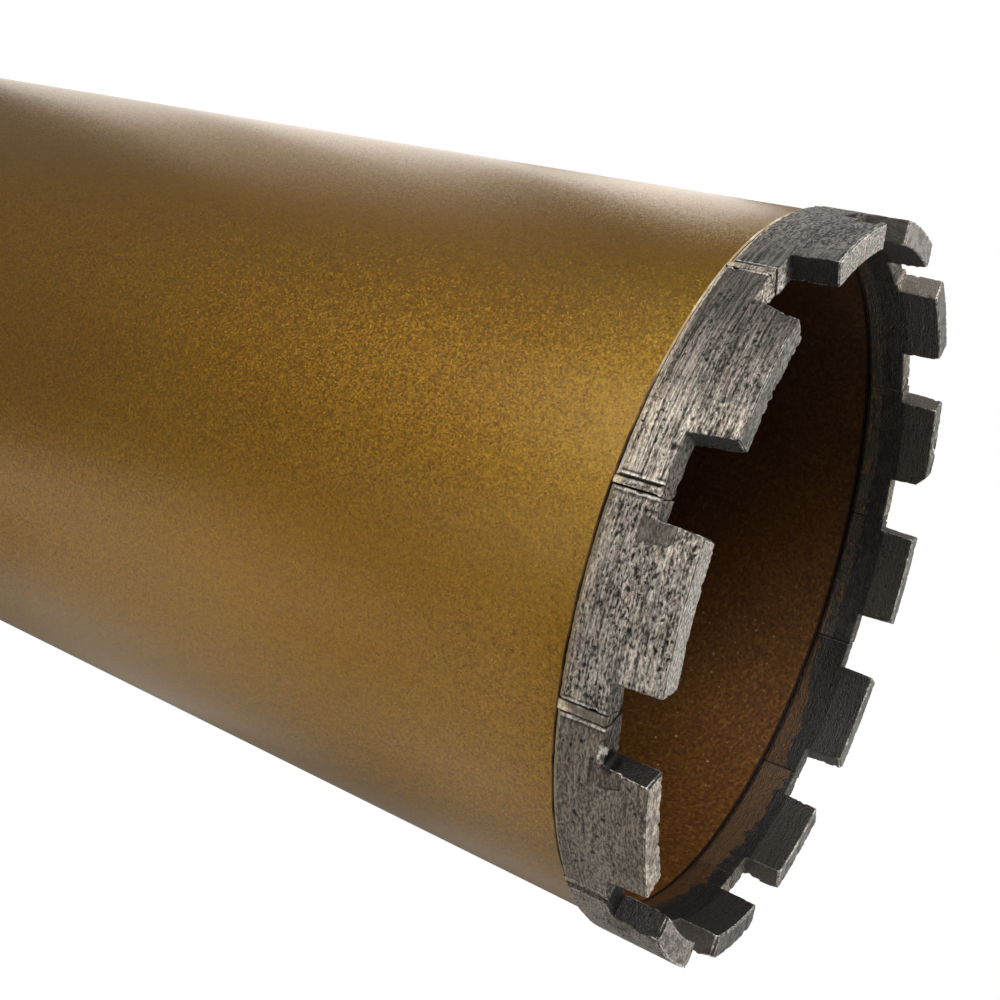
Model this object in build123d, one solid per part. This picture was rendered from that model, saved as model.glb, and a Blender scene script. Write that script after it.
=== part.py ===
from build123d import *
import math
import os

# Diamond core bit: a thin steel barrel, closed at the machine end by a welded
# plate and a threaded hub, and crowned at the other end by twelve sintered
# segments.  The bit stands on its hub face with the crown upwards.
# Millimetres and degrees.  +Z is the bit's axis, from the hub to the crown.

# ---------------------------------------------------------------- barrel
barrel_od = 150.0            # outside diameter of the tube
barrel_wall = 2.5            # tube wall
root_z = 420.0               # height of the joint between tube and crown
seam_height = 0.35           # weld seam between the tube end and the crown
seam_recess = 0.30           # how far the seam lies below both tube surfaces
tube_end_chamfer = 0.2       # broken edge of the tube at the crown

# ------------------------------------------------------- machine end
hub_od = 52.0                # boss that screws onto the drill spindle
hub_length = 42.0            # from the seating face to the plate
hub_flat_af = 46.0           # spanner size across the two flats
hub_flat_z0 = 10.0           # lower edge of the spanner flats
hub_flat_z1 = 32.0           # upper edge of the spanner flats
hub_face_chamfer = 1.2       # broken outer edge of the seating face
thread_minor_d = 28.0        # tapping size of the 1 1/4 in - 7 UNC thread
thread_major_d = 31.75       # full diameter, opened as a lead-in chamfer
thread_depth = 38.0          # depth of the tapped length
water_hole_d = 16.0          # water way from the hub into the barrel
spigot_d = 38.0              # hub spigot in the middle of the plate
plate_flange = 6.0           # full-diameter thickness of the end plate
plate_spigot = 5.0           # height of the step that enters the tube
plate_clear = 0.1            # radial clearance of that step in the tube
groove = 2.0                 # weld preparation, both legs
bead_rise = 0.55             # how far the barrel bead stands proud
fillet_leg = 5.0             # leg of the fillet weld around the hub

# ---------------------------------------------------------------- crown
seg_r_out = 76.2             # outside radius of the segments (6 in over all)
seg_r_in = 71.3              # inside radius of the segments
seg_height = 17.6            # from the joint to the cutting face
floor_height = 8.8           # from the joint to the floor of the water slots
head_width = 24.4            # width of the cutting head of a segment
root_chamfer_out = 0.9       # ground transition to the tube, outside
root_chamfer_in = 0.5        # the same in the bore
edge_break = 0.25            # broken edges of the cutting face
inner_gap_deg = 0.05         # half gap between two segment roots at the bore
fill_recess = 0.22           # how far the joint fill lies below the segments
fill_drop = 0.06             # how far the fill lies below the slot floor
fill_groove = 0.34           # width of the shrinkage groove along each flank
fill_groove_depth = 1.0      # depth of that groove below the segment faces

# One row per segment, in order around the crown:
# centre angle of the head, head width, angle of the joint that follows it,
# radial offset, slot floor before the head, floor after it, height,
# bevel width and height at the leading tip corner,
# relief z0, z1 and depth (ground beside the leading flank),
# flare of the leading flank at the floor, its draw-in at the tip,
# flare of the trailing flank at the floor.
segments = [
    (-145.85, 24.0, -132.0, -0.30, 8.8, 8.9, 17.6, 0.4, 0.5, 12.4, 16.2, 0.60, 0.0, 0.25, 0.2),
    (-115.45, 24.9, -98.1, 0.00, 8.6, 8.8, 17.4, 0.1, 1.3, 0.0, 0.0, 0.00, 1.6, 0.85, 0.6),
    (-85.40, 25.6, -70.8, 0.00, 9.0, 9.0, 17.6, 0.4, 0.6, 6.9, 12.9, 0.45, 0.1, 0.35, 0.0),
    (-55.35, 25.2, -40.8, 0.00, 9.3, 8.9, 17.4, 0.4, 0.4, 6.8, 12.4, 0.45, 0.1, 0.20, 0.0),
    (-26.20, 24.2, -10.7, 0.35, 8.7, 8.8, 17.6, 0.6, 0.6, 7.0, 12.6, 0.40, 0.1, 0.30, 0.1),
    (4.20, 24.0, 18.5, 0.00, 8.8, 8.8, 17.5, 0.5, 0.7, 6.9, 12.6, 0.40, 0.2, 0.25, 0.1),
    (33.65, 24.2, 48.4, 0.00, 8.8, 8.9, 17.4, 0.4, 0.5, 7.0, 12.8, 0.40, 0.1, 0.20, 0.1),
    (64.00, 25.4, 78.5, 0.00, 8.7, 8.9, 17.6, 0.6, 0.5, 6.8, 12.5, 0.45, 0.2, 0.25, 0.0),
    (94.40, 24.4, 105.6, 0.10, 8.9, 8.8, 17.5, 0.4, 0.4, 7.0, 12.6, 0.40, 0.1, 0.20, 0.1),
    (123.90, 23.8, 135.3, 0.00, 8.7, 8.9, 17.6, 2.8, 2.4, 6.9, 12.4, 0.40, 0.1, 0.25, 0.1),
    (154.55, 24.6, 166.2, -0.05, 8.7, 9.1, 17.6, 0.9, 1.2, 7.1, 12.8, 0.45, 0.2, 0.30, 0.0),
    (184.65, 24.2, 197.5, -0.10, 8.6, 8.9, 17.5, 1.0, 1.6, 6.8, 12.6, 0.40, 0.1, 0.25, 0.1),
]
relief_low = 4.6             # width of the relief at its lower end
relief_high = 2.8            # and at its upper end
relief_lip = 0.10            # how deep its far edge is cut

barrel_r = barrel_od / 2.0
bore_r = barrel_r - barrel_wall
plate_z0 = hub_length
shoulder_z = plate_z0 + plate_flange
plate_z1 = shoulder_z + plate_spigot
tube_z1 = root_z - seam_height


def turned(points):
    """Solid of revolution about Z from (r, z) corner points."""
    face = make_face(Polyline(*[(r, 0, z) for r, z in points], close=True))
    return revolve(face, axis=Axis.Z)


def prism(points, z0, height):
    """Upright prism from (x, y) corner points."""
    face = make_face(Polyline(*[(x, y, z0) for x, y in points], close=True))
    return extrude(face, amount=height, dir=(0, 0, 1))


def polar(angle):
    a = math.radians(angle)
    return (math.cos(a), math.sin(a))


def local(angle, s, t):
    """Point at distance s along the radial line and t across it."""
    c, n = polar(angle)
    return (s * c - t * n, s * n + t * c)


# ---------------------------------------------------------------- barrel
def make_barrel():
    c = tube_end_chamfer
    return turned([
        (bore_r, shoulder_z), (barrel_r - groove, shoulder_z),
        (barrel_r, shoulder_z + groove), (barrel_r, tube_z1 - c),
        (barrel_r - c, tube_z1), (bore_r + 0.25, tube_z1),
        (bore_r, tube_z1 - 0.25),
    ])


def make_root_seam():
    return turned([
        (bore_r + seam_recess, tube_z1), (barrel_r - seam_recess, tube_z1),
        (barrel_r - seam_recess, root_z), (bore_r + seam_recess, root_z),
    ])


def make_end_plate():
    r_in = spigot_d / 2.0
    r_sp = bore_r - plate_clear
    return turned([
        (r_in, plate_z0), (barrel_r - 1.0, plate_z0),
        (barrel_r, plate_z0 + 1.0), (barrel_r, shoulder_z - groove),
        (barrel_r - groove, shoulder_z), (r_sp, shoulder_z),
        (r_sp, plate_z1 - 0.8), (r_sp - 0.8, plate_z1), (r_in, plate_z1),
    ])


def make_barrel_weld():
    """Bead in the V between plate and tube, with a rounded cap."""
    a = (barrel_r, 0, shoulder_z - groove)
    b = (barrel_r - groove, 0, shoulder_z)
    c = (barrel_r, 0, shoulder_z + groove)
    top = (barrel_r + bead_rise, 0, shoulder_z)
    edges = [Line(a, b), Line(b, c), ThreePointArc(c, top, a)]
    return revolve(make_face(edges), axis=Axis.Z)


def make_hub():
    rb = thread_minor_d / 2.0
    rw = water_hole_d / 2.0
    lead = thread_major_d / 2.0 - rb
    cone = (rb - rw) * 0.577
    body = turned([
        (rb + lead, 0.0), (hub_od / 2.0 - hub_face_chamfer, 0.0),
        (hub_od / 2.0, hub_face_chamfer), (hub_od / 2.0, plate_z0),
        (spigot_d / 2.0, plate_z0), (spigot_d / 2.0, plate_z1),
        (rw + 0.6, plate_z1), (rw, plate_z1 - 0.6),
        (rw, thread_depth + cone), (rb, thread_depth), (rb, lead),
    ])
    for side in (1, -1):
        y = side * (hub_flat_af / 2.0 + 10.0)
        z = (hub_flat_z0 + hub_flat_z1) / 2.0
        body -= Pos(0, y, z) * Box(80.0, 20.0, hub_flat_z1 - hub_flat_z0)
    return body


def make_hub_weld():
    r0 = hub_od / 2.0
    a = (r0, 0, plate_z0)
    b = (r0 + fillet_leg, 0, plate_z0)
    c = (r0, 0, plate_z0 - fillet_leg)
    mid = (r0 + fillet_leg * 0.60, 0, plate_z0 - fillet_leg * 0.60)
    edges = [Line(a, b), ThreePointArc(b, mid, c), Line(c, a)]
    return revolve(make_face(edges), axis=Axis.Z)


# ---------------------------------------------------------------- crown
def root_sides(i):
    """Offsets of the two parallel root flanks of segment i from its middle."""
    centre = segments[i][0]
    before = segments[i - 1][2]
    after = segments[i][2]
    lead = ((before - centre + 180.0) % 360.0) - 180.0 + inner_gap_deg
    trail = ((after - centre + 180.0) % 360.0) - 180.0 - inner_gap_deg
    r = seg_r_in
    return (r * math.sin(math.radians(lead)), r * math.sin(math.radians(trail)))


def make_segment(i):
    (centre, width, _, dr, floor_a, floor_b, height, bevel_w, bevel_h,
     rel_z0, rel_z1, rel_d, flare_a, draw_a, flare_b) = segments[i]
    ta, tb = root_sides(i)
    h = width / 2.0
    ro, ri = seg_r_out + dr, seg_r_in + dr
    e = edge_break

    def upright(points, s):
        """Face at distance s from the axis; x runs across the segment."""
        plane = Plane(origin=local(centre, s, 0.0) + (root_z,),
                      x_dir=local(centre, 0.0, 1.0) + (0.0,),
                      z_dir=polar(centre) + (0.0,))
        sense = 1.0 if plane.y_dir.Z > 0 else -1.0
        return make_face(Polyline(*[plane.from_local_coords((t, sense * z, 0.0))
                                    for t, z in points], close=True))

    def along(points, s0, s1):
        out = polar(centre) + (0.0,)
        return extrude(upright(points, s0), amount=s1 - s0, dir=out)

    # wide root with parallel flanks
    low = [(ta, 0.0), (tb, 0.0), (tb, floor_b), (0.5, floor_b),
           (-0.5, floor_a), (ta, floor_a)]
    root = along(low, 60.0, 84.0)
    # narrower cutting head, whose flanks point at the bit's axis
    head = [
        (h + flare_b, 4.0), (h + flare_b, floor_b), (h - 0.3, height - 0.3),
        (h - 0.6, height), (-h + draw_a + bevel_w, height),
        (-h + draw_a, height - bevel_h), (-h - flare_a, floor_a),
        (-h - flare_a, 4.0),
    ]

    def radial(s):
        return [(s * t / math.sqrt(ro * ro - t * t), z) for t, z in head]

    body = root + loft([upright(radial(62.0), 62.0), upright(radial(84.0), 84.0)], ruled=True)
    ring = turned([
        (ri + root_chamfer_in, root_z), (ro - root_chamfer_out, root_z),
        (ro, root_z + root_chamfer_out), (ro, root_z + height - e),
        (ro - e, root_z + height), (ri + e, root_z + height),
        (ri, root_z + height - e), (ri, root_z + root_chamfer_in),
    ])
    body = body & ring
    if rel_d > 0.0:
        # relief ground into the outside face beside the leading flank
        x0, x1 = -h - 1.0, -h + relief_low
        s0 = math.sqrt(ro * ro - x0 * x0) - rel_d
        s1 = math.sqrt(ro * ro - x1 * x1) - relief_lip
        cut = prism([local(centre, s0, x0), local(centre, s1, x1),
                     local(centre, s1 + 6.0, x1), local(centre, s0 + 6.0, x0)],
                    root_z + rel_z0, rel_z1 - rel_z0)
        cut = cut & along([(x0, rel_z0), (-h + relief_low, rel_z0),
                           (-h + relief_high, rel_z1), (x0, rel_z1)], 60.0, 90.0)
        body = body - cut
    return body


def make_fill(i):
    """Weld metal in the V between the roots of segment i and the next one.

    It stands nearly flush with the segment faces and has shrunk away from
    both flanks in a narrow groove.
    """
    j = (i + 1) % len(segments)
    ca, cb = segments[i][0], segments[j][0]
    tb = root_sides(i)[1]
    ta = root_sides(j)[0]
    r0, r1 = seg_r_in + 0.5, seg_r_out - fill_recess
    rg = seg_r_out - fill_groove_depth
    g = fill_groove

    def at(angle, radius, t):
        return local(angle, math.sqrt(radius * radius - t * t), t)

    corners = [
        at(ca, r0, tb), at(ca, rg, tb), at(ca, rg + 0.12, tb + g),
        at(ca, r1, tb + g), at(cb, r1, ta - g), at(cb, rg + 0.12, ta - g),
        at(cb, rg, ta), at(cb, r0, ta),
    ]
    top = min(segments[i][5], segments[j][4]) - fill_drop
    return prism(corners, root_z, top)


parts = {
    "barrel_tube": make_barrel(),
    "root_weld_seam": make_root_seam(),
    "end_plate": make_end_plate(),
    "barrel_weld_bead": make_barrel_weld(),
    "threaded_hub": make_hub(),
    "hub_weld_bead": make_hub_weld(),
}
for k in range(len(segments)):
    parts["segment_%02d" % (k + 1)] = make_segment(k)
for k in range(len(segments)):
    n = (k + 1) % len(segments)
    parts["joint_fill_%02d_%02d" % (k + 1, n + 1)] = make_fill(k)

os.makedirs("parts", exist_ok=True)
for name, shape in parts.items():
    solids = shape.solids()
    solid = solids[0] if len(solids) == 1 else Compound(children=list(solids))
    export_step(solid, "parts/" + name + ".step")
    print(name, len(solids), round(shape.volume, 1))
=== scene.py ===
import math
import bmesh
import bpy
import numpy as np
from mathutils import Matrix, Vector


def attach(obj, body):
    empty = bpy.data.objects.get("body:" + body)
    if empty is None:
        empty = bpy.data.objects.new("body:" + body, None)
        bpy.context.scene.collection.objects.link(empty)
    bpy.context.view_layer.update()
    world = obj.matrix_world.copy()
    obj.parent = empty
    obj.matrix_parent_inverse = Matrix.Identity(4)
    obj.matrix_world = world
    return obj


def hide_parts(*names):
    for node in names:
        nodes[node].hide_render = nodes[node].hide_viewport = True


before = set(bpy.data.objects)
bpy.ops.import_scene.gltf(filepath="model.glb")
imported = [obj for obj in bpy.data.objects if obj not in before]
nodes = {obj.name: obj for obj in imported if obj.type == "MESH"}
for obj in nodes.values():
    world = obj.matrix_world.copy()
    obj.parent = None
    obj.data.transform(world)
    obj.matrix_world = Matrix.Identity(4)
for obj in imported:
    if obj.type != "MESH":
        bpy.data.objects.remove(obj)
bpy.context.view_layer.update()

scene = bpy.context.scene

# ------------------------------------------------------------------ dimensions
# Metres in the scene, millimetres in the sculpting code. The bit stands on its
# hub face, with the crown upwards.
ROOT = 420.0                 # height of the joint between barrel and crown
BARREL_R, BORE_R = 75.0, 72.5
TUBE_Z0, TUBE_Z1 = 48.0, 419.65
SEG_RO, SEG_RI = 76.2, 71.3

# number: (centre angle, head width, joint angle before, joint angle after,
#          radial offset, slot floor before, slot floor after, height)
SEGMENTS = {
    1: (-145.85, 24.0, -162.5, -132.0, -0.30, 8.8, 8.9, 17.6),
    2: (-115.45, 24.9, -132.0, -98.1, 0.00, 8.6, 8.8, 17.4),
    3: (-85.40, 25.6, -98.1, -70.8, 0.00, 9.0, 9.0, 17.6),
    4: (-55.35, 25.2, -70.8, -40.8, 0.00, 9.3, 8.9, 17.4),
    5: (-26.20, 24.2, -40.8, -10.7, 0.35, 8.7, 8.8, 17.6),
    6: (4.20, 24.0, -10.7, 18.5, 0.00, 8.8, 8.8, 17.5),
    7: (33.65, 24.2, 18.5, 48.4, 0.00, 8.8, 8.9, 17.4),
    8: (64.00, 25.4, 48.4, 78.5, 0.00, 8.7, 8.9, 17.6),
    9: (94.40, 24.4, 78.5, 105.6, 0.10, 8.9, 8.8, 17.5),
    10: (123.90, 23.8, 105.6, 135.3, 0.00, 8.7, 8.9, 17.6),
    11: (154.55, 24.6, 135.3, 166.2, -0.05, 8.7, 9.1, 17.6),
    12: (184.65, 24.2, 166.2, 197.5, -0.10, 8.6, 8.9, 17.5),
}


# ------------------------------------------------------------------ noise
def _hash(ix, iy, iz, seed):
    h = (ix.astype(np.int64) * 73856093) ^ (iy.astype(np.int64) * 19349663) \
        ^ (iz.astype(np.int64) * 83492791) ^ np.int64(seed * 2654435761 % (1 << 31))
    h = (h ^ (h >> 13)) * 1274126177
    h = (h ^ (h >> 16)) & 0xFFFFFF
    h = (h * 1103515245 + 12345) & 0xFFFFFFF
    return (h >> 4).astype(float) / float(1 << 24)


def vnoise(x, y, z, seed=0):
    """Smooth value noise in 0..1."""
    x, y, z = np.broadcast_arrays(np.asarray(x, float), y, z)
    x0, y0, z0 = np.floor(x), np.floor(y), np.floor(z)
    fx, fy, fz = x - x0, y - y0, z - z0
    fx, fy, fz = (f * f * (3 - 2 * f) for f in (fx, fy, fz))
    out = 0.0
    for dx in (0, 1):
        for dy in (0, 1):
            for dz in (0, 1):
                w = (fx if dx else 1 - fx) * (fy if dy else 1 - fy) * (fz if dz else 1 - fz)
                out = out + w * _hash(x0 + dx, y0 + dy, z0 + dz, seed)
    return out


def fbm(x, y, z, seed=0, octaves=3):
    s, a, t = 0.0, 1.0, 0.0
    for k in range(octaves):
        s = s + a * vnoise(x * 2 ** k, y * 2 ** k, z * 2 ** k, seed + 17 * k)
        t += a
        a *= 0.5
    return s / t


def step(e0, e1, x):
    t = np.clip((x - e0) / (e1 - e0), 0, 1)
    return t * t * (3 - 2 * t)


# ------------------------------------------------------------------ mesh helpers
def link(obj):
    scene.collection.objects.link(obj)
    return obj


def mesh_object(name, co_mm, faces, smooth=True):
    me = bpy.data.meshes.new(name)
    me.from_pydata([tuple(c) for c in (np.asarray(co_mm) * 0.001)], [], faces)
    me.update()
    if smooth:
        me.shade_smooth()
    return link(bpy.data.objects.new(name, me))


def lathe(name, profile, n=512, closed=True, jitter=None):
    """Revolve (r, z, material, sharp) profile points in mm about Z; sharp is not used."""
    ang = np.arange(n) * (2 * math.pi / n)
    pts = []
    for k, p in enumerate(profile):
        r = np.full(n, p[0])
        z = np.full(n, p[1])
        if jitter is not None:
            dr, dz = jitter(k, ang)
            r, z = r + dr, z + dz
        pts.append(np.stack([r * np.cos(ang), r * np.sin(ang), z], 1))
    co = np.concatenate(pts)
    m = len(profile)
    faces, mats = [], []
    for k in range(m if closed else m - 1):
        a, b = k * n, ((k + 1) % m) * n
        for i in range(n):
            j = (i + 1) % n
            faces.append((a + i, a + j, b + j, b + i))
            mats.append(profile[k][2] if len(profile[k]) > 2 else 0)
    obj = mesh_object(name, co, faces)
    obj.data.polygons.foreach_set("material_index", mats)
    return obj


def sharpen(obj, degrees=30.0):
    """Marks edges sharper than this, so that smooth shading keeps them crisp."""
    bm = bmesh.new()
    bm.from_mesh(obj.data)
    for e in bm.edges:
        if len(e.link_faces) == 2 and e.calc_face_angle(0.0) > math.radians(degrees):
            e.smooth = False
    bm.to_mesh(obj.data)
    bm.free()


def coords(me):
    co = np.zeros(len(me.vertices) * 3, np.float64)
    me.vertices.foreach_get("co", co)
    return co.reshape(-1, 3)


def normals(me):
    n = np.zeros(len(me.vertices) * 3, np.float32)
    me.vertex_normals.foreach_get("vector", n)
    return n.reshape(-1, 3).astype(float)


def edges_of(me):
    e = np.zeros(len(me.edges) * 2, np.int32)
    me.edges.foreach_get("vertices", e)
    return e.reshape(-1, 2)


def laplace(p, e, deg):
    out = np.empty_like(p)
    for c in range(p.shape[1]):
        s = np.bincount(e[:, 0], p[e[:, 1], c], len(p)) + np.bincount(e[:, 1], p[e[:, 0], c], len(p))
        out[:, c] = s / deg - p[:, c]
    return out


def put_attr(me, name, values):
    values = np.asarray(values, np.float32)
    if values.ndim == 1:
        a = me.attributes.new(name, "FLOAT", "POINT")
        a.data.foreach_set("value", values)
    else:
        a = me.attributes.new(name, "FLOAT_VECTOR", "POINT")
        a.data.foreach_set("vector", values.ravel())


# ------------------------------------------------------------------ node helpers
class Nodes:
    def __init__(self, name):
        self.mat = bpy.data.materials.new(name)
        self.mat.use_nodes = True
        self.t = self.mat.node_tree
        self.bsdf = self.t.nodes["Principled BSDF"]

    def add(self, kind, **props):
        n = self.t.nodes.new(kind)
        for k, v in props.items():
            setattr(n, k, v)
        return n

    def set(self, socket, value):
        if isinstance(value, bpy.types.NodeSocket):
            self.t.links.new(value, socket)
        else:
            socket.default_value = value

    def math(self, op, a, b=None, c=None, clamp=False):
        n = self.add("ShaderNodeMath", operation=op, use_clamp=clamp)
        for k, v in enumerate((a, b, c)):
            if v is not None:
                self.set(n.inputs[k], v)
        return n.outputs[0]

    def vmath(self, op, a, b=None, scale=None):
        n = self.add("ShaderNodeVectorMath", operation=op)
        self.set(n.inputs[0], a)
        if b is not None:
            self.set(n.inputs[1], b)
        if scale is not None:
            self.set(n.inputs["Scale"], scale)
        return n.outputs["Value"] if op in ("LENGTH", "DOT_PRODUCT") else n.outputs["Vector"]

    def ramp(self, fac, a, b, c0=0.0, c1=1.0):
        """Smooth step of fac from a..b onto c0..c1."""
        n = self.add("ShaderNodeMapRange", interpolation_type="SMOOTHSTEP")
        for k, v in zip(("Value", "From Min", "From Max", "To Min", "To Max"), (fac, a, b, c0, c1)):
            self.set(n.inputs[k], v)
        return n.outputs["Result"]

    def mix(self, fac, a, b, blend="MIX"):
        n = self.add("ShaderNodeMix", data_type="RGBA", blend_type=blend)
        self.set(n.inputs["Factor"], fac)
        self.set(n.inputs["A"], a)
        self.set(n.inputs["B"], b)
        return n.outputs["Result"]

    def noise(self, vec, scale, detail=3.0, rough=0.5, distortion=0.0):
        n = self.add("ShaderNodeTexNoise", noise_dimensions="3D")
        self.set(n.inputs["Vector"], vec)
        self.set(n.inputs["Scale"], scale)
        self.set(n.inputs["Detail"], detail)
        self.set(n.inputs["Roughness"], rough)
        self.set(n.inputs["Distortion"], distortion)
        return n.outputs["Fac"]

    def voronoi(self, vec, scale, out="Distance", feature="F1", randomness=1.0):
        n = self.add("ShaderNodeTexVoronoi", feature=feature)
        self.set(n.inputs["Vector"], vec)
        self.set(n.inputs["Scale"], scale)
        self.set(n.inputs["Randomness"], randomness)
        return n.outputs[out]

    def mapping(self, vec, scale, loc=(0, 0, 0)):
        n = self.add("ShaderNodeMapping")
        self.set(n.inputs["Vector"], vec)
        n.inputs["Scale"].default_value = scale
        n.inputs["Location"].default_value = loc
        return n.outputs["Vector"]

    def attr(self, name, out="Fac"):
        n = self.add("ShaderNodeAttribute", attribute_name=name)
        return n.outputs[out]

    def bump(self, height, strength, distance, normal=None):
        n = self.add("ShaderNodeBump")
        n.inputs["Strength"].default_value = strength
        n.inputs["Distance"].default_value = distance
        self.set(n.inputs["Height"], height)
        if normal is not None:
            self.set(n.inputs["Normal"], normal)
        return n.outputs["Normal"]

    def out(self, **kw):
        for k, v in kw.items():
            self.set(self.bsdf.inputs[k.replace("_", " ")], v)
        return self.mat


def grey(v, warm=0.0):
    return (v * (1 + warm), v, v * (1 - warm), 1.0)


# ------------------------------------------------------------------ materials
def paint(name, low, high, dark, rough, tilt, coat, coat_rough, edge_tint, cloud=0.10, bump=0.10):
    """Metallic paint: fine flakes lie at all angles in a clear binder.  Flakes
    that lie flat are yellower than the ones that stand up."""
    n = Nodes(name)
    tc = n.add("ShaderNodeTexCoord").outputs["Object"]
    geo = n.add("ShaderNodeNewGeometry").outputs["Normal"]
    height = n.add("ShaderNodeSeparateXYZ")
    n.set(height.inputs[0], tc)
    flake_and_glint_zone = n.math("MULTIPLY", n.ramp(height.outputs[2], 0.27, 0.415, 0.20, 1.0),      # flakes tilt further, and painted glints gather, towards the crown; less on the -X side
                    n.ramp(height.outputs[0], -0.068, -0.036, 0.25, 1.0))
    f1 = n.vmath("SUBTRACT", n.voronoi(tc, 4300.0, "Color"), (0.5, 0.5, 0.5))
    c2 = n.voronoi(tc, 2700.0, "Color")
    f2 = n.vmath("SUBTRACT", c2, (0.5, 0.5, 0.5))
    both = n.vmath("ADD", n.vmath("SCALE", f1, scale=tilt),
                   n.vmath("SCALE", f2, scale=n.math("MULTIPLY", flake_and_glint_zone, tilt * 0.8)))
    normal = n.vmath("NORMALIZE", n.vmath("ADD", geo, both))
    off = n.ramp(n.vmath("LENGTH", f1), 0.28, 0.66)
    base = n.mix(off, low, high)
    sep = n.add("ShaderNodeSeparateXYZ")
    n.set(sep.inputs[0], c2)
    base = n.mix(n.ramp(sep.outputs[1], 0.55, 1.0, 0.0, 0.40), base, dark)
    # painted highlight: the paint is made yellower and brighter near the crown, on the side where the light's
    # reflection falls
    painted_crown_highlight = n.math("MULTIPLY", n.ramp(height.outputs[2], 0.388, 0.420), n.ramp(height.outputs[0], -0.066, -0.046))
    painted_crown_highlight = n.math("MULTIPLY", painted_crown_highlight, n.ramp(height.outputs[0], -0.012, 0.034, 1.0, 0.0))
    base = n.mix(n.math("MULTIPLY", painted_crown_highlight, 0.26), base, (0.38, 0.232, 0.020, 1))
    # painted glints: a few large flakes are given a bright yellow colour, as if they caught the light
    painted_glint = n.math("MULTIPLY", n.ramp(sep.outputs[0], 0.74, 0.95), n.ramp(n.voronoi(tc, 2700.0), 0.25, 0.50, 1.0, 0.0))
    base = n.mix(n.math("MULTIPLY", n.math("MULTIPLY", painted_glint, flake_and_glint_zone), 0.18), base, (0.75, 0.50, 0.10, 1))
    base = n.mix(n.ramp(n.noise(tc, 26.0, 2.0), 0.3, 0.7, 0.0, cloud), base, dark)
    n.set(n.bsdf.inputs["Coat Normal"], n.bump(n.noise(tc, 340.0, 3.0), bump, 0.0003))
    n.bsdf.inputs["Specular Tint"].default_value = edge_tint
    return n.out(Base_Color=base, Metallic=1.0, Roughness=rough, Normal=normal,
                 Coat_Weight=coat, Coat_Roughness=coat_rough, Coat_IOR=1.36)


def paint_bore():
    """Thin paint sprayed into the bore, dull, with dust and runs in it."""
    n = Nodes("bore_paint")
    tc = n.add("ShaderNodeTexCoord").outputs["Object"]
    cloud = n.noise(tc, 60.0, 4.0)
    fine = n.noise(tc, 1100.0, 2.0)
    base = n.mix(n.ramp(cloud, 0.35, 0.65), (0.140, 0.050, 0.0065, 1), (0.172, 0.063, 0.0082, 1))
    base = n.mix(n.ramp(fine, 0.38, 0.62, 0.0, 0.55), base, (0.045, 0.016, 0.003, 1))
    base = n.mix(n.ramp(n.noise(tc, 900.0, 3.0), 0.54, 0.68, 0.0, 0.55), base, (0.27, 0.125, 0.024, 1))
    # painted shade: the bore paint is darkened towards near black on its -X side
    side = n.add("ShaderNodeSeparateXYZ")
    n.set(side.inputs[0], tc)
    base = n.mix(n.ramp(side.outputs[0], -0.065, 0.060, 0.62, 0.0), base, (0.018, 0.009, 0.004, 1))
    cell = n.voronoi(tc, 420.0)
    keep = n.add("ShaderNodeSeparateXYZ")
    n.set(keep.inputs[0], n.voronoi(tc, 420.0, "Color"))
    zone = n.ramp(n.noise(tc, 22.0, 2.0), 0.40, 0.62)
    near = n.ramp(side.outputs[0], 0.0, 0.055)
    speck = n.math("MULTIPLY", n.ramp(cell, 0.09, 0.20, 1.0, 0.0), n.ramp(keep.outputs[0], 0.72, 0.82))
    speck = n.math("MULTIPLY", speck, n.math("ADD", n.math("MULTIPLY", n.math("MULTIPLY", zone, near), 0.9), 0.12))
    base = n.mix(n.math("MULTIPLY", speck, 0.85), base, (0.62, 0.42, 0.18, 1))
    base = n.mix(n.ramp(side.outputs[2], 0.41860, 0.41895, 0.0, 0.94), base, (0.006, 0.003, 0.002, 1))
    h = n.math("ADD", n.noise(tc, 700.0, 3.0), n.math("MULTIPLY", speck, 0.9))
    return n.out(Base_Color=base, Metallic=0.55, Roughness=0.50, Normal=n.bump(h, 0.6, 0.00028))


def tube_edge_highlight():
    """Tube end edge: a painted highlight, bright cream, on its -X side where
    the chamfer catches the light; dark brown elsewhere."""
    n = Nodes("tube_end_edge")
    tc = n.add("ShaderNodeTexCoord").outputs["Object"]
    v = n.noise(tc, 220.0, 3.0)
    side = n.add("ShaderNodeSeparateXYZ")
    n.set(side.inputs[0], tc)
    bright = n.mix(n.ramp(v, 0.35, 0.62), (0.72, 0.64, 0.50, 1), (0.40, 0.28, 0.14, 1))
    darkened = n.mix(n.ramp(v, 0.42, 0.60), (0.16, 0.085, 0.022, 1), (0.035, 0.018, 0.007, 1))
    base = n.mix(n.ramp(side.outputs[0], -0.036, -0.022, 1.0, 0.0), darkened, bright)
    return n.out(Base_Color=base, Metallic=0.5, Roughness=n.ramp(v, 0.3, 0.7, 0.4, 0.6),
                 Normal=n.bump(n.noise(tc, 1500.0, 2.0), 0.4, 0.0001))


def dark_seam():
    n = Nodes("seam_dark")
    tc = n.add("ShaderNodeTexCoord").outputs["Object"]
    v = n.noise(tc, 500.0, 3.0)
    base = n.mix(v, (0.018, 0.009, 0.004, 1), (0.06, 0.032, 0.012, 1))
    return n.out(Base_Color=base, Metallic=0.3, Roughness=0.65, Normal=n.bump(v, 0.6, 0.0002))


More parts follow.
